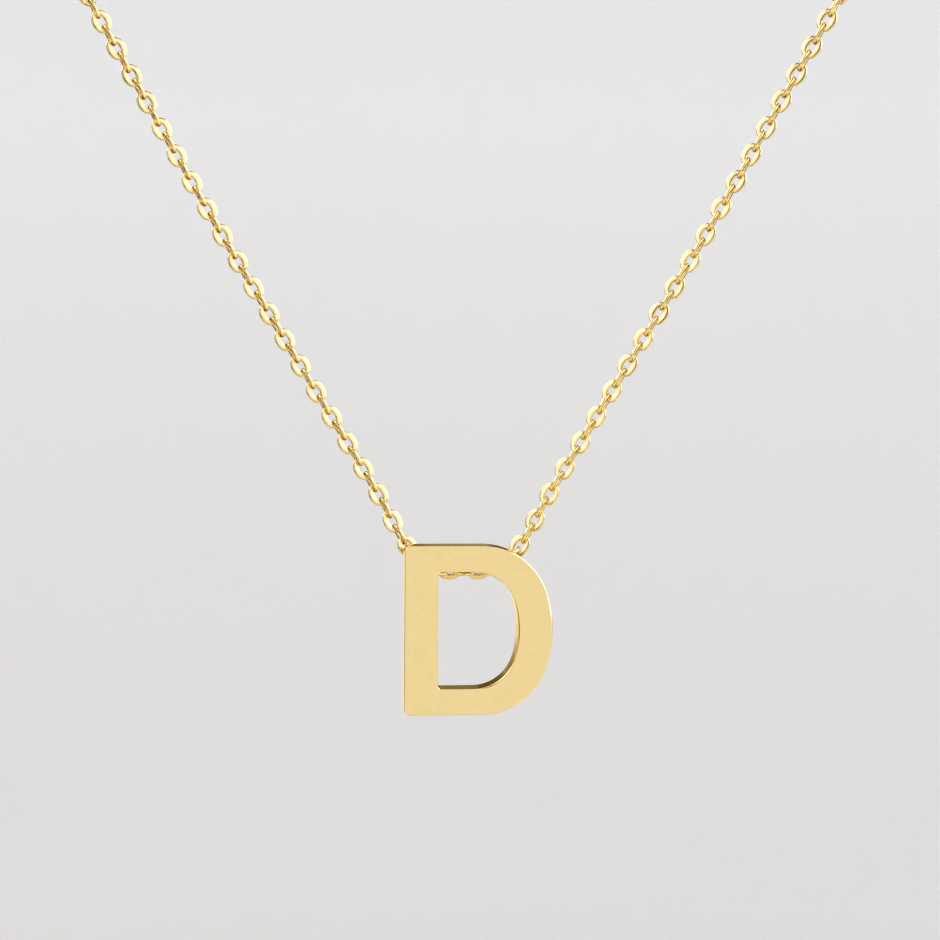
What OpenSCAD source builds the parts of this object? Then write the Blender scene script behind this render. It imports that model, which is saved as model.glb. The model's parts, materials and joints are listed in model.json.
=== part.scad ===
// Initial pendant: a flat letter D that slides and swings on a fine cable chain, with a ring clasp at the nape.
// The origin is at the nape of the neck, in the middle of the clasp. The wearer faces -Y and +Z is up.

/* [Letter] */
// Height of the letter
letter_h = 10.1; // [9:0.1:12]
// Width of the letter
letter_w = 8.86; // [8:0.01:10.5]
// Thickness of the letter, front to back
letter_t = 1.5; // [1:0.1:2]
// Width of the upright stem
stem_w = 2; // [1.6:0.02:2.4]
// Height of the upper bar
top_bar_h = 1.58; // [1.2:0.01:1.8]
// Height of the lower bar
bottom_bar_h = 1.56; // [1.2:0.02:1.8]
// Width of the bowl at its widest
bowl_w = 2.05; // [1.5:0.01:2.3]
// Radius of the bowl's two outer shoulders
shoulder_r = 3.98; // [3.2:0.02:4.2]
// How far the bowl's flatter middle stands out past its outer shoulders
shoulder_bulge = 0.2; // [0.1:0.01:0.5]
// Radius of the counter's two shoulders
counter_shoulder_r = 2.52; // [1.8:0.02:2.8]
// How far the counter's flatter right side stands out past its shoulders
counter_bulge = 0.13; // [0.1:0.01:0.4]
// Radius of the stem's two outer corners
outer_corner_r = 0.38; // [0.1:0.02:0.8]
// Radius of the counter's two left corners
inner_corner_r = 0.22; // [0.1:0.02:0.5]
// Turn of the letter about the vertical, its stem towards the viewer, degrees
letter_turn = 5.9; // [0:0.1:8]
// How far the letter's middle hangs to the right of the middle between its loops
letter_offset = 0.68; // [0:0.02:1]
// Lean of the letter in its own plane, clockwise as seen from the front, degrees
letter_lean = 0.45; // [0:0.05:2]

/* [Loops] */
// Play between the chain and the inside of a loop, all round
loop_play = 0.35; // [0.3:0.01:0.5]
// Thickness of the flat band that a loop is bent from
loop_band_t = 0.27; // [0.2:0.01:0.4]
// Width of the flat band that a loop is bent from
loop_band_w = 0.35; // [0.25:0.01:0.5]
// How deep a loop is sunk into the letter's back at its solder joint
solder_depth = 0.12; // [0.08:0.01:0.2]
// Tilt of each loop, which follows the strand of chain through it, degrees
loop_tilt = 39; // [30:1:45]
// Height of the letter's top above the middle of its loops
loop_drop = 1.38; // [1.2:0.02:1.8]

/* [Chain] */
// Outer diameter of the chain
chain_d = 1; // [0.8:0.05:1.2]
// Gap between each end of the chain and the clasp
chain_end_gap = 0.2; // [0.1:0.05:0.5]

/* [Clasp] */
// Outer diameter of the clasp's ring
clasp_d = 5.5; // [5:0.1:7]
// Thickness of the clasp's round tube
clasp_tube_d = 1; // [0.8:0.05:1.2]
// Outer diameter of the eye that carries the chain's right end
eye_d = 1.8; // [1.6:0.05:2.2]
// Thickness of the eye's wire
eye_wire_d = 0.45; // [0.35:0.05:0.6]
// Diameter of the thumb nub on the ring
nub_d = 0.7; // [0.5:0.05:0.8]
// How far the thumb nub stands out of the ring
nub_h = 0.45; // [0.3:0.05:0.8]

/* [Hidden] */

// Half of the chain's route, from beside its middle behind the letter to beside the nape. Each row is
// across, front to back, up, and the share of the letter's turn that the chain takes on there.
CHAIN_ROUTE = [
    [0.8, -94, -97.85, 1],
    [1.6, -94, -97.75, 1],
    [2.4, -94, -97.4, 1],
    [3.3, -94, -96.4, 1],
    [4.9, -94, -93.6, 0.3],
    [9.7, -94, -85.6, 0],
    [14.45, -94, -77.6, 0],
    [18.95, -94, -69.6, 0],
    [23.5, -94, -61.4, 0],
    [32, -93.5, -46, 0],
    [40.5, -91.5, -31, 0],
    [48.5, -87, -17.5, 0],
    [54.5, -78, -8.5, 0],
    [58, -65, -4, 0],
    [58.5, -49, -1.5, 0],
    [55, -33.5, 0, 0],
    [47, -19.5, 0.5, 0],
    [35, -9, 0.5, 0],
    [21, -2.5, 0, 0],
    [10, -0.3, 0, 0]
];
// The row of the route that lies in the middle of a loop
LOOP_ROW = 2;
// A point inside the necklace, which the rings of the chain's tube face
NECK_MIDDLE = [0, -47, -30];
CHAIN_SIDES = 8;
// The longest stretch between two rings of the chain's tube
CHAIN_RING_STEP = 10;
SHOULDER_STEPS = 14;
BULGE_STEPS = 12;
CORNER_STEPS = 6;
NUB_ANGLE = 60;

gold = [0.9, 0.73, 0.37];

loop_at = CHAIN_ROUTE[LOOP_ROW];
loop_bore_d = chain_d + 2 * loop_play;
loop_d = loop_bore_d + 2 * loop_band_t;
// From the hinge line through both loops to the letter's back
back_y = loop_d / 2 - solder_depth;
// From the hinge line's middle to each loop, along the turned letter
loop_x = loop_at.x / cos(letter_turn);
clasp_right = clasp_d / 2 + eye_d - eye_wire_d / 2;

function unit(v) = v / norm(v);

function arc(centre, r, from, to, steps, skip = 0) =
    [for (i = [skip : steps - skip]) let (a = from + (to - from) * i / steps) centre + r * [cos(a), sin(a)]];

// A closed D from its lower left corner at [0, 0]: straight bars, two shoulders, and a flatter arc that is
// tangent to both
function d_outline(w, h, shoulder, bulge, corner) =
    let (
        across = w - shoulder - bulge,
        rise = h / 2 - shoulder,
        back = (rise * rise - bulge * bulge) / (2 * bulge),
        tangent = atan2(rise, back)
    )
    concat(
        arc([across, h - shoulder], shoulder, 90, tangent, SHOULDER_STEPS),
        arc([across - back, h / 2], shoulder + bulge + back, tangent, -tangent, BULGE_STEPS, 1),
        arc([across, shoulder], shoulder, -tangent, -90, SHOULDER_STEPS),
        arc([corner, corner], corner, 270, 180, CORNER_STEPS),
        arc([corner, h - corner], corner, 180, 90, CORNER_STEPS)
    );

// One side of the route, 1 for the right and -1 for the left
function route_side(side) =
    [for (p = CHAIN_ROUTE) [side * p.x, p.y + side * p.x * p[3] * tan(letter_turn), p.z]];

function reversed(list) = [for (i = [len(list) - 1 : -1 : 0]) list[i]];

chain_points = concat(
    [[-clasp_d / 2 - chain_end_gap, 0, 0]],
    reversed(route_side(-1)),
    [[0, CHAIN_ROUTE[0].y, CHAIN_ROUTE[0].z]],
    route_side(1),
    [[clasp_right + chain_end_gap, 0, 0]]
);

// The curve's direction at point i, weighted by how near its two neighbours are
function slope(p, i) =
    i == 0 ? unit(p[1] - p[0])
    : i == len(p) - 1 ? unit(p[i] - p[i - 1])
    : let (before = norm(p[i] - p[i - 1]), after = norm(p[i + 1] - p[i]))
      (after * (p[i] - p[i - 1]) / before + before * (p[i + 1] - p[i]) / after) / (before + after);

// The smooth curve through the points: a place and a direction at share u of stretch i
function curve(p, i, u) =
    let (d = norm(p[i + 1] - p[i]), m = d * slope(p, i), n = d * slope(p, i + 1))
    [
        (2 * u * u * u - 3 * u * u + 1) * p[i] + (u * u * u - 2 * u * u + u) * m
            + (3 * u * u - 2 * u * u * u) * p[i + 1] + (u * u * u - u * u) * n,
        (6 * u * u - 6 * u) * (p[i] - p[i + 1]) + (3 * u * u - 4 * u + 1) * m + (3 * u * u - 2 * u) * n
    ];

function stretch_steps(p, i) = ceil(norm(p[i + 1] - p[i]) / CHAIN_RING_STEP);

// A tube along the route: one ring of corners at every place of the curve, and a cap at each end
module tube(p, d, sides) {
    places = concat(
        [for (i = [0 : len(p) - 2]) let (n = stretch_steps(p, i)) for (k = [0 : n - 1]) curve(p, i, k / n)],
        [curve(p, len(p) - 2, 1)]
    );
    rings = [
        for (place = places)
            let (
                along = unit(place[1]),
                side = unit(cross(along, place[0] - NECK_MIDDLE)),
                out = cross(side, along)
            )
            for (s = [0 : sides - 1])
                place[0] + d / 2 * (cos(360 * s / sides) * out + sin(360 * s / sides) * side)
    ];
    last = len(places) - 1;
    walls = [
        for (r = [0 : last - 1], s = [0 : sides - 1])
            let (a = r * sides + s, b = r * sides + (s + 1) % sides)
            each [[a, a + sides, b], [b, a + sides, b + sides]]
    ];
    start_cap = [for (s = [0 : sides - 1]) s];
    end_cap = [for (s = [sides - 1 : -1 : 0]) last * sides + s];
    polyhedron(rings, concat(walls, [start_cap, end_cap]), convexity = 10);
}

// A torus in the XZ plane
module wire_ring(outer_d, wire_d) {
    rotate([90, 0, 0])
        rotate_extrude($fn = 48)
            translate([(outer_d - wire_d) / 2, 0])
                circle(d = wire_d, $fn = 20);
}

module letter_plate() {
    translate([letter_offset - letter_w / 2, -back_y, loop_drop - letter_h])
        rotate([90, 0, 0])
            linear_extrude(letter_t)
                difference() {
                    polygon(d_outline(letter_w, letter_h, shoulder_r, shoulder_bulge, outer_corner_r));
                    translate([stem_w, bottom_bar_h])
                        polygon(d_outline(
                            letter_w - stem_w - bowl_w,
                            letter_h - top_bar_h - bottom_bar_h,
                            counter_shoulder_r,
                            counter_bulge,
                            inner_corner_r
                        ));
                }
}

// One band loop on the letter's back, its bore square to the strand that runs through it
module loop(side) {
    translate([side * loop_x, 0, 0])
        rotate([0, 90 - side * loop_tilt, 0])
            difference() {
                cylinder(h = loop_band_w, d = loop_d, center = true, $fn = 48);
                cylinder(h = loop_band_w * 2, d = loop_bore_d, center = true, $fn = 48);
            }
}

module letter() {
    color(gold)
        translate([0, loop_at.y, loop_at.z])
            rotate([0, 0, letter_turn])
                union() {
                    rotate([0, letter_lean, 0])
                        letter_plate();
                    loop(-1);
                    loop(1);
                }
}

module chain() {
    color(gold)
        tube(chain_points, chain_d, CHAIN_SIDES);
}

// A closed ring with its soldered eye on the right and a thumb nub above
module clasp() {
    color(gold)
        union() {
            wire_ring(clasp_d, clasp_tube_d);
            translate([clasp_right - eye_d / 2, 0, 0])
                wire_ring(eye_d, eye_wire_d);
            rotate([0, 90 - NUB_ANGLE, 0])
                translate([0, 0, (clasp_d - clasp_tube_d) / 2])
                    cylinder(h = clasp_tube_d / 2 + nub_h, d = nub_d, $fn = 24);
        }
}

letter();
chain();
clasp();
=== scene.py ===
import bisect
import json
import math
import random

import bmesh
import bpy
from mathutils import Matrix, Vector


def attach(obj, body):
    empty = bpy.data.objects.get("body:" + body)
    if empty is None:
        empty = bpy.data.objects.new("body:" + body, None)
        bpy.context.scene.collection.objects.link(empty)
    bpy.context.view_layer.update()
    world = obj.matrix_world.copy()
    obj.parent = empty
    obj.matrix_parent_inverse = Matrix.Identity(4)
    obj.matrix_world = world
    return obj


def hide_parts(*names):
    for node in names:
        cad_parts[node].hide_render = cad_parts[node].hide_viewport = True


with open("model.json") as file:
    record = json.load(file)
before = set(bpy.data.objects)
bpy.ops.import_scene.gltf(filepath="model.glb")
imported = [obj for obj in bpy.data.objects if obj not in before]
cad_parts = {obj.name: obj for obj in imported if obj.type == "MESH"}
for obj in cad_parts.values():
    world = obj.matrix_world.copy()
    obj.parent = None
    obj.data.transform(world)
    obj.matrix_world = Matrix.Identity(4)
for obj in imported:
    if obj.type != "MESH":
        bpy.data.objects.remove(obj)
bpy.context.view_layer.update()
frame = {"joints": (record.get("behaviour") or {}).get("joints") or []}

# Lengths are in metres and angles in degrees. X is across, Y from front to back and Z up.

# Camera, looking along +Y and a little down at the letter
CAMERA_PLACE = (0.000367, -0.221185, -0.082797)
CAMERA_ELEVATION = 4
CAMERA_LENS = 81.14
CAMERA_NEAR_LIMIT = 0.001

# Letter
LETTER_HEIGHT = 0.0101
LETTER_WIDTH = 0.00886
LETTER_THICKNESS = 0.0015
STEM_WIDTH = 0.002
TOP_BAR_HEIGHT = 0.00158
BOTTOM_BAR_HEIGHT = 0.00156
BOWL_WIDTH = 0.00205
SHOULDER_RADIUS = 0.00398
SHOULDER_BULGE = 0.0002
COUNTER_SHOULDER_RADIUS = 0.00252
COUNTER_BULGE = 0.00013
OUTER_CORNER_RADIUS = 0.00038
INNER_CORNER_RADIUS = 0.00022
LETTER_OFFSET = 0.00068
LETTER_LEAN = 0.45
SHOULDER_STEPS = 18
BULGE_STEPS = 12
CORNER_STEPS = 6
# The front edge is rounded most where the bowl faces right and a little up, and elsewhere has a share of
# that. The counter's front edge is rounded most at its lower right, where it faces up and left.
WIDEST_ROUNDING = 0.00014
WIDEST_AT = 12
FRONT_EDGE_SHARE = 0.26
COUNTER_EDGE_SHARE = 0.36
COUNTER_WIDEST_SHARE = 0.7
COUNTER_WIDEST_AT = 140
BACK_EDGE_SHARE = 0.9
EDGE_ROUNDING_STEPS = 4
# An edge that turns by more than this is sharp and gets rounded
SHARP_EDGE_ANGLE = 60

# Band loops on the letter's back
LOOP_BORE = 0.0017
LOOP_BAND_THICKNESS = 0.00027
LOOP_BAND_WIDTH = 0.00035
LOOP_BAND_ROUNDING = 0.00005
LOOP_SINK = 0.00012
LOOP_TILT = 39
LOOP_DROP = 0.00138
LOOP_ROW = 2
LOOP_STEPS = 48
SOLDER_SIZE = (0.0005, 0.00011, 0.00068)
SOLDER_SIDES = 24
SOLDER_RINGS = 12
# Steps in each rounded corner of the flat wire of a loop or a link
WIRE_CORNER_STEPS = 2

# Chain. Half of its route, from beside its middle behind the letter to beside the nape: across, front to
# back, up, and the share of the letter's turn that the chain takes on there
CHAIN_ROUTE = [
    (0.0008, -0.094, -0.09785, 1),
    (0.0016, -0.094, -0.09775, 1),
    (0.0024, -0.094, -0.0974, 1),
    (0.0033, -0.094, -0.0964, 1),
    (0.0049, -0.094, -0.0936, 0.3),
    (0.0097, -0.094, -0.0856, 0),
    (0.01445, -0.094, -0.0776, 0),
    (0.01895, -0.094, -0.0696, 0),
    (0.0235, -0.094, -0.0614, 0),
    (0.032, -0.0935, -0.046, 0),
    (0.0405, -0.0915, -0.031, 0),
    (0.0485, -0.087, -0.0175, 0),
    (0.0545, -0.078, -0.0085, 0),
    (0.058, -0.065, -0.004, 0),
    (0.0585, -0.049, -0.0015, 0),
    (0.055, -0.0335, 0, 0),
    (0.047, -0.0195, 0.0005, 0),
    (0.035, -0.009, 0.0005, 0),
    (0.021, -0.0025, 0, 0),
    (0.01, -0.0003, 0, 0),
]
ROUTE_STEPS = 40
LINK_LENGTH = 0.00143
LINK_WIDTH = 0.00112
LINK_WIRE_WIDTH = 0.00034
LINK_WIRE_WIDTH_AT_END = 0.00026
LINK_WIRE_THICKNESS = 0.00017
LINK_WIRE_ROUNDING = 0.00005
# How full the link's outline is: 2 is an ellipse, more is squarer
LINK_FULLNESS = 2.15
LINK_PITCH = 0.000909
# Behind the letter the links lie slack and closer together, up to this one on each side of the middle one
LAST_SLACK_LINK = 5
FIRST_SLACK_PITCH = 0.00087
SLACK_PITCH = 0.000776
# The links up to this one on each side show in the photograph and are made finer
LAST_FRONT_LINK = 45
FINE_LINK_STEPS = 24
PLAIN_LINK_STEPS = 12
# How far the links are rolled about the chain's length: those that face the viewer, and those between them
FACE_LINK_ROLL = -20.5
EDGE_LINK_ROLL = 73
# The slack links, from the middle one outwards, are rolled further by this and lie higher by this
SLACK_ROLLS = (40, 40, 40, 26, 13)
SLACK_LIFTS = (0.00007, 0.00007, 0.00004, 0.00002)
LINK_ROLL_SPREAD = 3
LINK_TILT_SPREAD = 2
LINK_SEED = 4
# The neck that the chain's flat sides face away from, seen from above
NECK_MIDDLE_Y = -0.047
NECK_HALF_WIDTH = 0.058
NECK_HALF_DEPTH = 0.047

# Clasp and the jump rings that join it to the chain
CLASP_DIAMETER = 0.0055
CLASP_TUBE = 0.001
EYE_DIAMETER = 0.0018
EYE_WIRE = 0.00045
NUB_DIAMETER = 0.0007
NUB_HEIGHT = 0.00045
NUB_ANGLE = 60
NUB_ROUNDING = 0.0002
NUB_ROUNDING_STEPS = 4
NUB_SIDES = 24
CLASP_SIDES = 24
CLASP_STEPS = 80
EYE_SIDES = 16
EYE_STEPS = 40
CHAIN_END_GAP = 0.0002
LEFT_JUMP_RING_X = -0.00285
LEFT_JUMP_RING_DIAMETER = 0.003
LEFT_JUMP_RING_WIRE = 0.00035
RIGHT_JUMP_RING_X = 0.0045
RIGHT_JUMP_RING_DIAMETER = 0.002
RIGHT_JUMP_RING_WIRE = 0.0003
JUMP_RING_SIDES = 12
JUMP_RING_STEPS = 40

# Gold: the pale and the deep shade of each piece, and how gold colours a reflection at a grazing angle
LETTER_SHADES = ((0.895, 0.727, 0.36), (0.885, 0.718, 0.35))
CHAIN_SHADES = ((0.93, 0.76, 0.39), (0.9, 0.725, 0.35))
CLASP_SHADES = ((0.895, 0.727, 0.36), (0.88, 0.71, 0.345))
GRAZING_TINT = (0.95, 0.84, 0.44, 1)
SHADE_CLOUD_SCALE = 900
WEAR_SCALE = 2600

# Floor, backdrop and light
FLOOR_Z = -0.42
FLOOR_RADIUS = 1.0
BACKDROP_CURVE = 0.5
BACKDROP_HEIGHT = 1.3
BACKDROP_CURVE_STEPS = 24
STAGE_STEPS = 96
STAGE_MERGE_DISTANCE = 0.0001
FLOOR_CLOUD_SCALE = 2
FLOOR_SHADES = ((0.78, 0.785, 0.795, 1), (0.81, 0.815, 0.825, 1))
FLOOR_GLOW = (0.96, 0.98, 1, 1)
FLOOR_GLOW_STRENGTH = 0.38
ROOM_TONE = (0.12, 0.072, 0.026, 1)
LIGHT_TARGET = (0, -0.094, -0.095)
WHITE = (1, 1, 1)
WARM_WHITE = (1, 0.965, 0.92)
COOL_WHITE = (0.97, 1, 1.1)
CREAM = (1, 0.9, 0.75)
HONEY = (1, 0.82, 0.55)
AMBER = (1, 0.66, 0.3)
# The soft lights round the gold: name, sides as azimuths right of the camera's side as seen from the letter,
# reach from one elevation to another, distance, brightness as a mirror shows it, and colour
SOFTBOXES = [
    ("front_card", (-2, 30), (-21, 3), 0.6, 0.87, WHITE),
    ("front_left_box", (-62, -17), (-3, 44), 0.7, 1.28, COOL_WHITE),
    ("front_right_box", (6, 60), (7, 47), 0.7, 1.28, COOL_WHITE),
    ("right_box", (57, 138), (-3, 53), 0.7, 2.6, COOL_WHITE),
    ("low_right_box", (30, 135), (-60, 0), 0.7, 1, WARM_WHITE),
    ("left_glow", (-140, -64), (-30, 22), 0.7, 0.3, AMBER),
    ("upper_left_box", (-150, -64), (22, 70), 0.7, 2.8, WHITE),
    ("low_back_box", (135, 166), (-40, -13), 0.55, 0.45, HONEY),
    ("low_left_box", (-115, -50), (-60, -26), 0.5, 0.8, WARM_WHITE),
    ("lower_front_box", (-52, -6), (-38, -15), 0.7, 0.8, WARM_WHITE),
    ("overhead_box", (-40, 40), (56, 100), 0.7, 0.9, WHITE),
    ("back_strip", (-182, -164), (-30, 4), 0.7, 1.12, WARM_WHITE),
    ("upper_back_strip", (-192, -178), (3, 15), 0.7, 0.1, WARM_WHITE),
    ("low_front_card", (-50, 60), (-100, -30), 0.26, 0.78, CREAM),
]

hinge = frame["joints"][0]
hinge_place = Vector(hinge["pos_m"])
letter_turn = math.atan2(hinge["axis"][1], hinge["axis"][0])
loop_diameter = LOOP_BORE + 2 * LOOP_BAND_THICKNESS
letter_back = loop_diameter / 2 - LOOP_SINK
link_inner = LINK_WIDTH / 2 - LINK_WIRE_WIDTH
link_outer = LINK_WIDTH / 2
letter_place = Matrix.Translation(hinge_place) @ Matrix.Rotation(letter_turn, 4, "Z")


def add_camera():
    data = bpy.data.cameras.new("camera")
    data.lens = CAMERA_LENS
    data.clip_start = CAMERA_NEAR_LIMIT
    camera = bpy.data.objects.new("camera", data)
    camera.location = CAMERA_PLACE
    camera.rotation_euler = (math.radians(90 - CAMERA_ELEVATION), 0, 0)
    bpy.context.scene.collection.objects.link(camera)
    bpy.context.scene.camera = camera


def node(tree, kind, **values):
    """A new node with its inputs set by name."""
    made = tree.nodes.new(kind)
    for name, value in values.items():
        made.inputs[name.replace("_", " ")].default_value = value
    return made


def gold(name, pale, deep, smooth, dull, grain_scale, grain_depth):
    """Polished gold: two close shades in soft clouds, roughness between smooth and dull, and a fine grain."""
    material = bpy.data.materials.new(name)
    material.use_nodes = True
    tree = material.node_tree
    shader = tree.nodes["Principled BSDF"]
    shader.inputs["Metallic"].default_value = 1
    shader.inputs["Specular Tint"].default_value = GRAZING_TINT
    place = tree.nodes.new("ShaderNodeTexCoord").outputs["Object"]

    clouds = node(tree, "ShaderNodeTexNoise", Scale=SHADE_CLOUD_SCALE, Detail=3, Roughness=0.5)
    shade = tree.nodes.new("ShaderNodeValToRGB")
    shade.color_ramp.elements[0].position = 0.35
    shade.color_ramp.elements[0].color = (*deep, 1)
    shade.color_ramp.elements[1].position = 0.65
    shade.color_ramp.elements[1].color = (*pale, 1)
    tree.links.new(place, clouds.inputs["Vector"])
    tree.links.new(clouds.outputs["Fac"], shade.inputs["Fac"])
    tree.links.new(shade.outputs["Color"], shader.inputs["Base Color"])

    wear = node(tree, "ShaderNodeTexNoise", Scale=WEAR_SCALE, Detail=4, Roughness=0.6)
    sheen = node(tree, "ShaderNodeMapRange", From_Min=0.3, From_Max=0.7, To_Min=smooth, To_Max=dull)
    tree.links.new(place, wear.inputs["Vector"])
    tree.links.new(wear.outputs["Fac"], sheen.inputs["Value"])
    tree.links.new(sheen.outputs["Result"], shader.inputs["Roughness"])

    grain = node(tree, "ShaderNodeTexNoise", Scale=grain_scale, Detail=5, Roughness=0.65)
    bump = node(tree, "ShaderNodeBump", Strength=1, Distance=grain_depth)
    tree.links.new(place, grain.inputs["Vector"])
    tree.links.new(grain.outputs["Fac"], bump.inputs["Height"])
    tree.links.new(bump.outputs["Normal"], shader.inputs["Normal"])
    return material


def plain_pale():
    """Matt off-white of the floor and the backdrop, lit through a little, as a light tent is."""
    material = bpy.data.materials.new("pale_floor")
    material.use_nodes = True
    tree = material.node_tree
    shader = tree.nodes["Principled BSDF"]
    shader.inputs["Roughness"].default_value = 0.9
    shader.inputs["Specular IOR Level"].default_value = 0.1
    place = tree.nodes.new("ShaderNodeTexCoord").outputs["Object"]
    clouds = node(tree, "ShaderNodeTexNoise", Scale=FLOOR_CLOUD_SCALE, Detail=2)
    shade = tree.nodes.new("ShaderNodeValToRGB")
    shade.color_ramp.elements[0].color = FLOOR_SHADES[0]
    shade.color_ramp.elements[1].color = FLOOR_SHADES[1]
    tree.links.new(place, clouds.inputs["Vector"])
    tree.links.new(clouds.outputs["Fac"], shade.inputs["Fac"])
    tree.links.new(shade.outputs["Color"], shader.inputs["Base Color"])
    shader.inputs["Emission Color"].default_value = FLOOR_GLOW
    shader.inputs["Emission Strength"].default_value = FLOOR_GLOW_STRENGTH
    return material


def finished(bm, name, material):
    """Turns a bmesh into a smooth-shaded object at the origin, and frees it."""
    for face in bm.faces:
        face.smooth = True
    mesh = bpy.data.meshes.new(name)
    bm.to_mesh(mesh)
    bm.free()
    mesh.materials.append(material)
    piece = bpy.data.objects.new(name, mesh)
    bpy.context.scene.collection.objects.link(piece)
    return piece


def keep_flats_flat(piece):
    """Shades large flat faces flat and leaves the change of shade to the small faces beside them."""
    normals = piece.modifiers.new("flats", "WEIGHTED_NORMAL")
    normals.keep_sharp = True


def add_shape(bm, shape, place):
    """Adds a ready mesh to a piece at a place."""
    placed = shape.copy()
    placed.transform(place)
    bm.from_mesh(placed)
    bpy.data.meshes.remove(placed)


def spun(bm, name, steps):
    """Spins the open section in bm once round the Y axis and gives the closed ring as a mesh."""
    section = bm.verts[:] + bm.edges[:]
    bmesh.ops.spin(
        bm, geom=section, cent=(0, 0, 0), axis=(0, 1, 0), angle=math.tau, steps=steps, use_merge=True
    )
    bmesh.ops.recalc_face_normals(bm, faces=bm.faces[:])
    shape = bpy.data.meshes.new(name)
    bm.to_mesh(shape)
    bm.free()
    return shape


def flat_ring(name, inner_radius, outer_radius, width, rounding, steps):
    """A ring about the Y axis, of flat wire with rounded corners."""
    bm = bmesh.new()
    section = bmesh.ops.create_grid(bm, x_segments=1, y_segments=1, size=0.5)["verts"]
    bmesh.ops.scale(bm, vec=(outer_radius - inner_radius, width, 1), verts=section)
    bmesh.ops.translate(bm, vec=((inner_radius + outer_radius) / 2, 0, 0), verts=section)
    bmesh.ops.bevel(
        bm,
        geom=section,
        offset=rounding,
        segments=WIRE_CORNER_STEPS,
        profile=0.5,
        affect="VERTICES",
        material=-1,
    )
    bmesh.ops.delete(bm, geom=bm.faces[:], context="FACES_ONLY")
    return spun(bm, name, steps)


def six_sided_ring(name, inner_radius, outer_radius, width, steps):
    """A ring about the Y axis, of six-sided wire that is flat towards the front and the back."""
    bm = bmesh.new()
    section = bmesh.ops.create_circle(bm, segments=6, radius=1)["verts"]
    bmesh.ops.rotate(bm, cent=(0, 0, 0), matrix=Matrix.Rotation(math.radians(30), 3, "Z"), verts=section)
    reach = max(corner.co.x for corner in section)
    height = max(corner.co.y for corner in section)
    size = ((outer_radius - inner_radius) / 2 / reach, width / 2 / height, 1)
    bmesh.ops.scale(bm, vec=size, verts=section)
    bmesh.ops.translate(bm, vec=((inner_radius + outer_radius) / 2, 0, 0), verts=section)
    return spun(bm, name, steps)


def round_ring(name, middle_radius, wire, sides, steps):
    """A ring about the Y axis, of round wire."""
    bm = bmesh.new()
    section = bmesh.ops.create_circle(bm, segments=sides, radius=wire / 2)["verts"]
    bmesh.ops.translate(bm, vec=(middle_radius, 0, 0), verts=section)
    return spun(bm, name, steps)


def arc_on(bm, last, centre, degrees, steps):
    """Carries an outline on round an arc from its last corner and gives the new last corner. The arc runs
    clockwise as the camera sees it, or the other way where the angle is negative."""
    made = bmesh.ops.spin(
        bm,
        geom=[last],
        cent=(centre[0], 0, centre[1]),
        axis=(0, 1, 0),
        angle=math.radians(degrees),
        steps=steps,
        use_merge=False,
    )
    return [corner for corner in made["geom_last"] if isinstance(corner, bmesh.types.BMVert)][0]


def line_on(bm, last, across, up):
    """Carries an outline straight on from its last corner to a point."""
    corner = bmesh.ops.extrude_vert_indiv(bm, verts=[last])["verts"][0]
    corner.co = (across, 0, up)
    return corner


def add_d_outline(bm, left, bottom, width, height, shoulder, bulge, corner):
    """A closed D of straight bars, two shoulders, and a flatter arc tangent to both. Gives its edges."""
    before = set(bm.edges)
    across = width - shoulder - bulge
    rise = height / 2 - shoulder
    back = (rise * rise - bulge * bulge) / (2 * bulge)
    tangent = math.degrees(math.atan2(rise, back))
    upper = (left + across, bottom + height - shoulder)
    lower = (left + across, bottom + shoulder)
    middle = (left + across - back, bottom + height / 2)
    first = bmesh.ops.create_vert(bm, co=(upper[0], 0, bottom + height))["vert"][0]
    last = arc_on(bm, first, upper, 90 - tangent, SHOULDER_STEPS)
    last = arc_on(bm, last, middle, 2 * tangent, BULGE_STEPS)
    last = arc_on(bm, last, lower, 90 - tangent, SHOULDER_STEPS)
    last = line_on(bm, last, left + corner, bottom)
    last = arc_on(bm, last, (left + corner, bottom + corner), 90, CORNER_STEPS)
    last = line_on(bm, last, left, bottom + height - corner)
    last = arc_on(bm, last, (left + corner, bottom + height - corner), 90, CORNER_STEPS)
    bm.edges.new((last, first))
    return [edge for edge in bm.edges if edge not in before]


def edge_share(wall, least, most, widest_at):
    """The share of the widest rounding on an edge, which grows as its wall turns to where it is widest."""
    widest = Vector((math.cos(math.radians(widest_at)), 0, math.sin(math.radians(widest_at))))
    return least + (most - least) * max(0, wall.dot(widest)) ** 2


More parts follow.
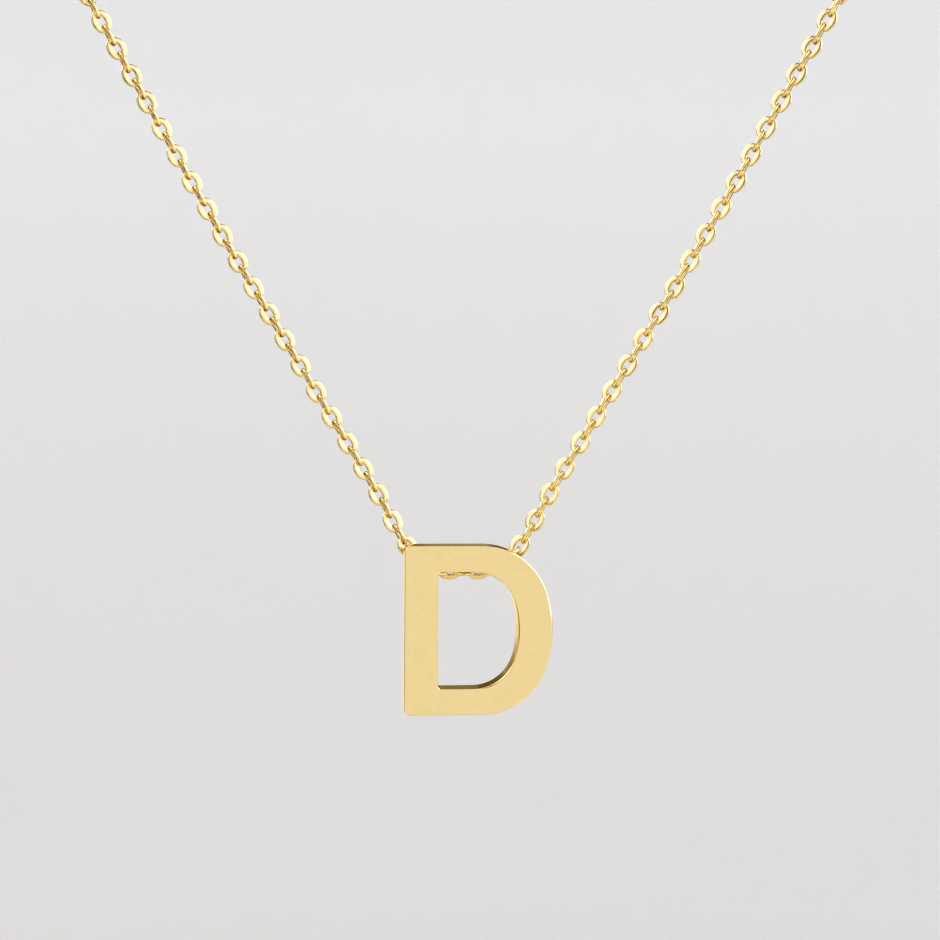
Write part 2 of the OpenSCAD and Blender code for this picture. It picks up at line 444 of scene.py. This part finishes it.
def letter_plate():
    """The flat D, its front at -Y. Each sharp edge carries its share of the widest rounding."""
    bm = bmesh.new()
    rounding = bm.edges.layers.float.new("bevel_weight_edge")
    left = LETTER_OFFSET - LETTER_WIDTH / 2
    bottom = LOOP_DROP - LETTER_HEIGHT
    outline = add_d_outline(
        bm, left, bottom, LETTER_WIDTH, LETTER_HEIGHT, SHOULDER_RADIUS, SHOULDER_BULGE, OUTER_CORNER_RADIUS
    )
    counter = add_d_outline(
        bm,
        left + STEM_WIDTH,
        bottom + BOTTOM_BAR_HEIGHT,
        LETTER_WIDTH - STEM_WIDTH - BOWL_WIDTH,
        LETTER_HEIGHT - TOP_BAR_HEIGHT - BOTTOM_BAR_HEIGHT,
        COUNTER_SHOULDER_RADIUS,
        COUNTER_BULGE,
        INNER_CORNER_RADIUS,
    )
    outer_corners = {corner.co.xz.to_tuple(7) for edge in outline for corner in edge.verts}
    faces = bmesh.ops.bridge_loops(bm, edges=outline + counter)["faces"]
    bmesh.ops.translate(bm, vec=(0, -letter_back, 0), verts=bm.verts[:])
    pushed = bmesh.ops.extrude_face_region(bm, geom=faces)["geom"]
    front = [corner for corner in pushed if isinstance(corner, bmesh.types.BMVert)]
    bmesh.ops.translate(bm, vec=(0, -LETTER_THICKNESS, 0), verts=front)
    bmesh.ops.recalc_face_normals(bm, faces=bm.faces[:])

    for edge in bm.edges:
        if edge.calc_face_angle(0) < math.radians(SHARP_EDGE_ANGLE):
            continue
        wall = min(edge.link_faces, key=lambda face: abs(face.normal.y)).normal
        if edge.verts[0].co.y > -letter_back - LETTER_THICKNESS / 2:
            edge[rounding] = BACK_EDGE_SHARE
        elif edge.verts[0].co.xz.to_tuple(7) in outer_corners:
            edge[rounding] = edge_share(wall, FRONT_EDGE_SHARE, 1, WIDEST_AT)
        else:
            edge[rounding] = edge_share(wall, COUNTER_EDGE_SHARE, COUNTER_WIDEST_SHARE, COUNTER_WIDEST_AT)
    lean = Matrix.Rotation(math.radians(LETTER_LEAN), 3, "Y")
    bmesh.ops.rotate(bm, cent=(0, 0, 0), matrix=lean, verts=bm.verts[:])
    return bm


def make_letter(material):
    """The letter with its two band loops and their solder."""
    bm = letter_plate()
    band = flat_ring(
        "band", LOOP_BORE / 2, loop_diameter / 2, LOOP_BAND_WIDTH, LOOP_BAND_ROUNDING, LOOP_STEPS
    )
    across = Matrix.Rotation(math.radians(90), 4, "Z")
    for side in (-1, 1):
        loop_x = side * CHAIN_ROUTE[LOOP_ROW][0] / math.cos(letter_turn)
        tilt = Matrix.Rotation(math.radians(-side * LOOP_TILT), 4, "Y")
        add_shape(bm, band, Matrix.Translation((loop_x, 0, 0)) @ tilt @ across)
        solder = Matrix.Translation((loop_x, -letter_back, 0)) @ tilt @ Matrix.Diagonal((*SOLDER_SIZE, 1))
        bmesh.ops.create_uvsphere(
            bm, u_segments=SOLDER_SIDES, v_segments=SOLDER_RINGS, radius=1, matrix=solder
        )
    bmesh.ops.transform(bm, matrix=letter_place, verts=bm.verts[:])
    piece = finished(bm, "letter_d", material)
    bevel = piece.modifiers.new("rounded_edges", "BEVEL")
    bevel.limit_method = "WEIGHT"
    bevel.width = WIDEST_ROUNDING
    bevel.segments = EDGE_ROUNDING_STEPS
    bevel.profile = 0.5
    bevel.use_clamp_overlap = False
    bevel.harden_normals = True
    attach(piece, "letter")
    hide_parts("letter")


def route_points():
    """The chain's route from the clasp's left side, through the loops, to the clasp's right side."""
    lean = math.tan(letter_turn)
    left = [Vector((-x, y - x * share * lean, z)) for x, y, z, share in CHAIN_ROUTE]
    right = [Vector((x, y + x * share * lean, z)) for x, y, z, share in CHAIN_ROUTE]
    middle = Vector((0, CHAIN_ROUTE[0][1], CHAIN_ROUTE[0][2]))
    left_end = Vector((-CLASP_DIAMETER / 2 - CHAIN_END_GAP, 0, 0))
    right_end = Vector((CLASP_DIAMETER / 2 + EYE_DIAMETER - EYE_WIRE / 2 + CHAIN_END_GAP, 0, 0))
    return [left_end, *reversed(left), middle, *right, right_end]


def slope(points, i):
    """The route's direction at point i, weighted by how near its two neighbours are."""
    if i == 0:
        return (points[1] - points[0]).normalized()
    if i == len(points) - 1:
        return (points[i] - points[i - 1]).normalized()
    before = points[i] - points[i - 1]
    after = points[i + 1] - points[i]
    b = before.length
    a = after.length
    return (before * a / b + after * b / a) / (a + b)


def place_on(points, i, u):
    """The place at share u of stretch i of the smooth route."""
    start = points[i]
    end = points[i + 1]
    d = (end - start).length
    out = slope(points, i) * d * (u**3 - 2 * u**2 + u)
    back = slope(points, i + 1) * d * (u**3 - u**2)
    return start * (2 * u**3 - 3 * u**2 + 1) + end * (3 * u**2 - 2 * u**3) + out + back


def measured_route():
    """Places close together along the route, and how far each lies from the middle behind the letter."""
    points = route_points()
    places = []
    for i in range(len(points) - 1):
        places += [place_on(points, i, k / ROUTE_STEPS) for k in range(ROUTE_STEPS)]
    places.append(points[-1])
    distances = [0]
    for before, after in zip(places, places[1:]):
        distances.append(distances[-1] + (after - before).length)
    middle = distances[(len(points) // 2) * ROUTE_STEPS]
    return places, [distance - middle for distance in distances]


def along_route(route, distance):
    """The place and the direction at a distance along the route."""
    places, distances = route
    i = min(max(bisect.bisect(distances, distance) - 1, 0), len(places) - 2)
    share = (distance - distances[i]) / (distances[i + 1] - distances[i])
    step = places[i + 1] - places[i]
    return places[i] + step * share, step.normalized()


def away_from_neck(place):
    """The level direction that faces away from the neck at a place on the chain."""
    across = place.x**3 / NECK_HALF_WIDTH**4
    deep = (place.y - NECK_MIDDLE_Y) ** 3 / NECK_HALF_DEPTH**4
    return Vector((across, deep, 0)).normalized()


def link_shape(shape):
    """Makes a ring in the XZ plane a link, drawn out along Z to its length and a little squarer."""
    inner_end = LINK_LENGTH / 2 - LINK_WIRE_WIDTH_AT_END
    outer_end = LINK_LENGTH / 2
    for corner in shape.vertices:
        radius = math.hypot(corner.co.x, corner.co.z)
        across = abs(corner.co.x / radius)
        up = abs(corner.co.z / radius)
        fuller = (across**LINK_FULLNESS + up**LINK_FULLNESS) ** (-1 / LINK_FULLNESS)
        end = inner_end + (outer_end - inner_end) * (radius - link_inner) / (link_outer - link_inner)
        corner.co.x *= fuller
        corner.co.z *= fuller * end / radius
    return shape


def link_distances(route, side):
    """How far from the middle each link of one side lies, out to the one that holds the jump ring."""
    if side < 0:
        ring_x, diameter, wire = -LEFT_JUMP_RING_X, LEFT_JUMP_RING_DIAMETER, LEFT_JUMP_RING_WIRE
    else:
        ring_x, diameter, wire = RIGHT_JUMP_RING_X, RIGHT_JUMP_RING_DIAMETER, RIGHT_JUMP_RING_WIRE
    places, distances = route
    end = 0 if side < 0 else -1
    hole = LINK_LENGTH / 2 - LINK_WIRE_WIDTH_AT_END
    last_x = ring_x + diameter / 2 - wire + hole
    reach = abs(distances[end]) - (last_x - abs(places[end].x))
    slack = FIRST_SLACK_PITCH + (LAST_SLACK_LINK - 1) * SLACK_PITCH
    taut_links = 2 * math.ceil((reach - slack) / LINK_PITCH / 2)
    pitch = (reach - slack) / taut_links
    close = [side * (FIRST_SLACK_PITCH + SLACK_PITCH * i) for i in range(LAST_SLACK_LINK)]
    return close + [side * (slack + pitch * i) for i in range(1, taut_links + 1)]


def link_place(route, distance, number, rng):
    """Where a link lies, every other one seen edge-on and none quite like its neighbours."""
    steps_out = abs(number)
    place, along = along_route(route, distance)
    if steps_out < len(SLACK_LIFTS):
        place = place + Vector((0, 0, SLACK_LIFTS[steps_out]))
    facing = away_from_neck(place)
    out = (facing - along * facing.dot(along)).normalized()
    axes = Matrix((along.cross(out), -out, along)).transposed().to_4x4()
    roll = EDGE_LINK_ROLL if number % 2 == 0 else FACE_LINK_ROLL
    roll += rng.uniform(-LINK_ROLL_SPREAD, LINK_ROLL_SPREAD)
    if steps_out < len(SLACK_ROLLS):
        roll += SLACK_ROLLS[steps_out]
    tilt = rng.uniform(-LINK_TILT_SPREAD, LINK_TILT_SPREAD)
    turned = Matrix.Rotation(math.radians(roll), 4, "Z") @ Matrix.Rotation(math.radians(tilt), 4, "X")
    return Matrix.Translation(place) @ axes @ turned


def make_chain(material):
    """All links of the chain: finer ones in front and plainer ones round the neck."""
    route = measured_route()
    rng = random.Random(LINK_SEED)
    left = link_distances(route, -1)
    right = link_distances(route, 1)
    numbered = [(0, 0)]
    numbered += [(-n, distance) for n, distance in enumerate(left, 1)]
    numbered += [(n, distance) for n, distance in enumerate(right, 1)]
    fine_ring = flat_ring(
        "fine_link", link_inner, link_outer, LINK_WIRE_THICKNESS, LINK_WIRE_ROUNDING, FINE_LINK_STEPS
    )
    fine_link = link_shape(fine_ring)
    plain_ring = six_sided_ring(
        "plain_link", link_inner, link_outer, LINK_WIRE_THICKNESS, PLAIN_LINK_STEPS
    )
    plain_link = link_shape(plain_ring)
    front = bmesh.new()
    rest = bmesh.new()
    for number, distance in numbered:
        place = link_place(route, distance, number, rng)
        if abs(number) <= LAST_FRONT_LINK:
            add_shape(front, fine_link, place)
        else:
            add_shape(rest, plain_link, place)
    for bm, name in ((front, "chain_front"), (rest, "chain_rest")):
        piece = finished(bm, name, material)
        keep_flats_flat(piece)
        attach(piece, "necklace")
        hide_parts("chain")


def make_jump_rings(material):
    """The two level rings that join the chain to the clasp."""
    bm = bmesh.new()
    level = Matrix.Rotation(math.radians(90), 4, "X")
    for x, diameter, wire in (
        (LEFT_JUMP_RING_X, LEFT_JUMP_RING_DIAMETER, LEFT_JUMP_RING_WIRE),
        (RIGHT_JUMP_RING_X, RIGHT_JUMP_RING_DIAMETER, RIGHT_JUMP_RING_WIRE),
    ):
        ring = round_ring("jump_ring", (diameter - wire) / 2, wire, JUMP_RING_SIDES, JUMP_RING_STEPS)
        add_shape(bm, ring, Matrix.Translation((x, 0, 0)) @ level)
    piece = finished(bm, "jump_rings", material)
    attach(piece, "necklace")
    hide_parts("chain")


def make_clasp(material):
    """A closed ring with its soldered eye and a thumb nub."""
    bm = bmesh.new()
    ring_radius = (CLASP_DIAMETER - CLASP_TUBE) / 2
    add_shape(bm, round_ring("clasp_ring", ring_radius, CLASP_TUBE, CLASP_SIDES, CLASP_STEPS), Matrix())
    eye_x = CLASP_DIAMETER / 2 + EYE_DIAMETER / 2 - EYE_WIRE / 2
    eye = round_ring("eye", (EYE_DIAMETER - EYE_WIRE) / 2, EYE_WIRE, EYE_SIDES, EYE_STEPS)
    add_shape(bm, eye, Matrix.Translation((eye_x, 0, 0)))
    nub_length = CLASP_TUBE / 2 + NUB_HEIGHT
    nub_middle = ring_radius + nub_length / 2
    nub = bmesh.new()
    bmesh.ops.create_cone(
        nub,
        cap_ends=True,
        segments=NUB_SIDES,
        radius1=NUB_DIAMETER / 2,
        radius2=NUB_DIAMETER / 2,
        depth=nub_length,
        matrix=Matrix.Translation((0, 0, nub_middle)),
    )
    top = [edge for edge in nub.edges if min(corner.co.z for corner in edge.verts) > nub_middle]
    bmesh.ops.bevel(
        nub,
        geom=top,
        offset=NUB_ROUNDING,
        segments=NUB_ROUNDING_STEPS,
        profile=0.5,
        affect="EDGES",
        material=-1,
    )
    nub_shape = bpy.data.meshes.new("nub")
    nub.to_mesh(nub_shape)
    nub.free()
    add_shape(bm, nub_shape, Matrix.Rotation(math.radians(90 - NUB_ANGLE), 4, "Y"))
    piece = finished(bm, "ring_clasp", material)
    keep_flats_flat(piece)
    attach(piece, "necklace")
    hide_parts("clasp")


def stage_piece(name, start, path, material):
    """A round part of the stage: a profile drawn from a start point and spun round the Z axis."""
    bm = bmesh.new()
    last = bmesh.ops.create_vert(bm, co=start)["vert"][0]
    for kind, value in path:
        if kind == "curve":
            last = arc_on(bm, last, value, -90, BACKDROP_CURVE_STEPS)
        else:
            last = line_on(bm, last, *value)
    profile = bm.verts[:] + bm.edges[:]
    bmesh.ops.spin(
        bm, geom=profile, cent=(0, 0, 0), axis=(0, 0, 1), angle=math.tau, steps=STAGE_STEPS, use_merge=True
    )
    bmesh.ops.remove_doubles(bm, verts=bm.verts[:], dist=STAGE_MERGE_DISTANCE)
    bmesh.ops.recalc_face_normals(bm, faces=bm.faces[:])
    piece = finished(bm, name, material)
    return piece


def make_stage():
    """A wide pale floor that curves up into a backdrop all round. The gold mirrors the lights, not these."""
    material = plain_pale()
    floor = stage_piece("floor", (0, 0, FLOOR_Z), [("line", (FLOOR_RADIUS, FLOOR_Z))], material)
    backdrop = stage_piece(
        "backdrop",
        (FLOOR_RADIUS, 0, FLOOR_Z),
        [
            ("curve", (FLOOR_RADIUS, FLOOR_Z + BACKDROP_CURVE)),
            ("line", (FLOOR_RADIUS + BACKDROP_CURVE, FLOOR_Z + BACKDROP_HEIGHT)),
        ],
        material,
    )
    for part in (floor, backdrop):
        part.visible_glossy = False
    return floor, backdrop


def add_softbox(name, sides, reach, distance, brightness, colour):
    """A soft rectangular light that faces the letter, from one azimuth and elevation to another."""
    a = math.radians(sum(sides) / 2)
    e = math.radians(sum(reach) / 2)
    data = bpy.data.lights.new(name, "AREA")
    data.shape = "RECTANGLE"
    data.size = 2 * distance * math.tan(math.radians(sides[1] - sides[0]) / 2) * math.cos(e)
    data.size_y = 2 * distance * math.tan(math.radians(reach[1] - reach[0]) / 2)
    data.energy = brightness * math.pi * data.size * data.size_y
    data.color = colour
    lamp = bpy.data.objects.new(name, data)
    away = Vector((math.sin(a) * math.cos(e), -math.cos(a) * math.cos(e), math.sin(e)))
    lamp.location = Vector(LIGHT_TARGET) + away * distance
    lamp.rotation_euler = away.to_track_quat("Z", "Y").to_euler()
    lamp.visible_camera = False
    bpy.context.scene.collection.objects.link(lamp)
    return lamp


def keep_off(lamps, stage):
    """Keeps the lamps' light off the stage, so that the room light alone lights it, and evenly."""
    dark_for_lamps = bpy.data.collections.new("stage_off_lamps")
    for part in stage:
        dark_for_lamps.objects.link(part)
    for entry in dark_for_lamps.collection_objects:
        entry.light_linking.link_state = "EXCLUDE"
    for lamp in lamps:
        lamp.light_linking.receiver_collection = dark_for_lamps


def add_lights(stage):
    """The room's dim tone, the soft lights round the gold, and one room light for the stage."""
    world = bpy.data.worlds.new("studio")
    world.use_nodes = True
    world.node_tree.nodes["Background"].inputs["Color"].default_value = ROOM_TONE
    bpy.context.scene.world = world
    lamps = [add_softbox(*box) for box in SOFTBOXES]
    keep_off(lamps, stage)
    fill = add_softbox("room_fill", (-45, 45), (60, 120), 1.3, 2.2, WHITE)
    fill.visible_glossy = False


add_camera()
letter_gold = gold(
    "letter_gold", *LETTER_SHADES, smooth=0.12, dull=0.2, grain_scale=9000, grain_depth=0.0000004
)
chain_gold = gold("chain_gold", *CHAIN_SHADES, smooth=0.16, dull=0.26, grain_scale=7000, grain_depth=0.000001)
clasp_gold = gold("clasp_gold", *CLASP_SHADES, smooth=0.1, dull=0.2, grain_scale=6000, grain_depth=0.000001)
make_letter(letter_gold)
make_chain(chain_gold)
make_jump_rings(chain_gold)
make_clasp(clasp_gold)
stage = make_stage()
add_lights(stage)
bpy.context.scene.view_settings.view_transform = "Standard"
